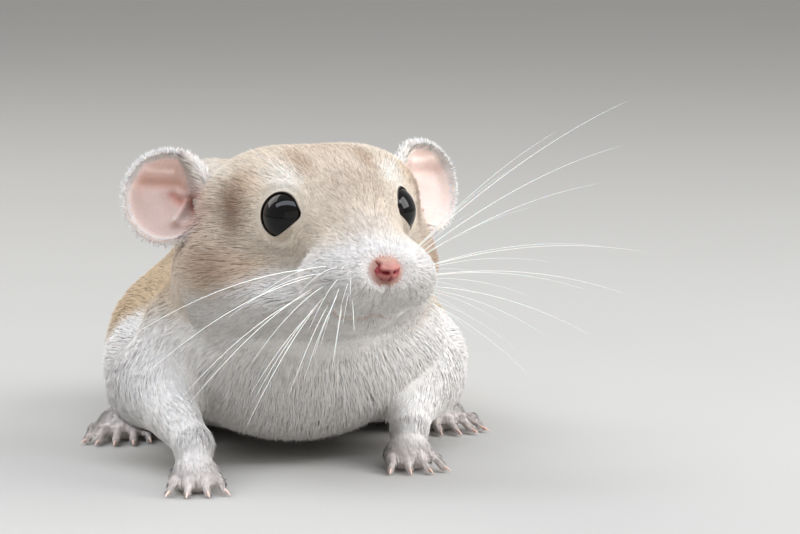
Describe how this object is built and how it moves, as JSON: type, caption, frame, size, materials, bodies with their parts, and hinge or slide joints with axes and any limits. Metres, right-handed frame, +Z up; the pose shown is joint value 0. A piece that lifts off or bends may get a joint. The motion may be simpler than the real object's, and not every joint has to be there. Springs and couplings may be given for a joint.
{
  "type": "gerbil",
  "caption": "Life-size still model of a pale fat-tailed gerbil, crouched with its head raised and turned to its left.",
  "frame": {"origin": "middle of the bounding box, on the floor that the feet, belly and tail rest on", "axes": "+Z up, the animal faces -Y with its tail towards +Y, and its left side is +X"},
  "size_m": [0.0584, 0.1336, 0.0433],
  "materials": {
    "buff_coat": "soft short fur",
    "white_coat": "soft short fur",
    "nose_skin": "bare moist skin",
    "ear_skin": "thin skin with fine down",
    "eye": "wet gloss",
    "paw_skin": "skin under thin white fur",
    "tail_skin": "soft skin with sparse fine hair"
  },
  "bodies": {
    "root": {"head": "buff_coat", "muzzle": "white_coat", "lower_jaw": "white_coat", "nose": "nose_skin", "ear_left": "ear_skin", "ear_right": "ear_skin", "eye_left": "eye", "eye_right": "eye", "neck": "buff_coat", "torso": "buff_coat", "foreleg_left": "white_coat", "foreleg_right": "white_coat", "forepaw_left": "paw_skin", "forepaw_right": "paw_skin", "hindleg_left": "buff_coat", "hindleg_right": "buff_coat", "hindfoot_left": "paw_skin", "hindfoot_right": "paw_skin", "tail": "tail_skin"}
  },
  "joints": []
}
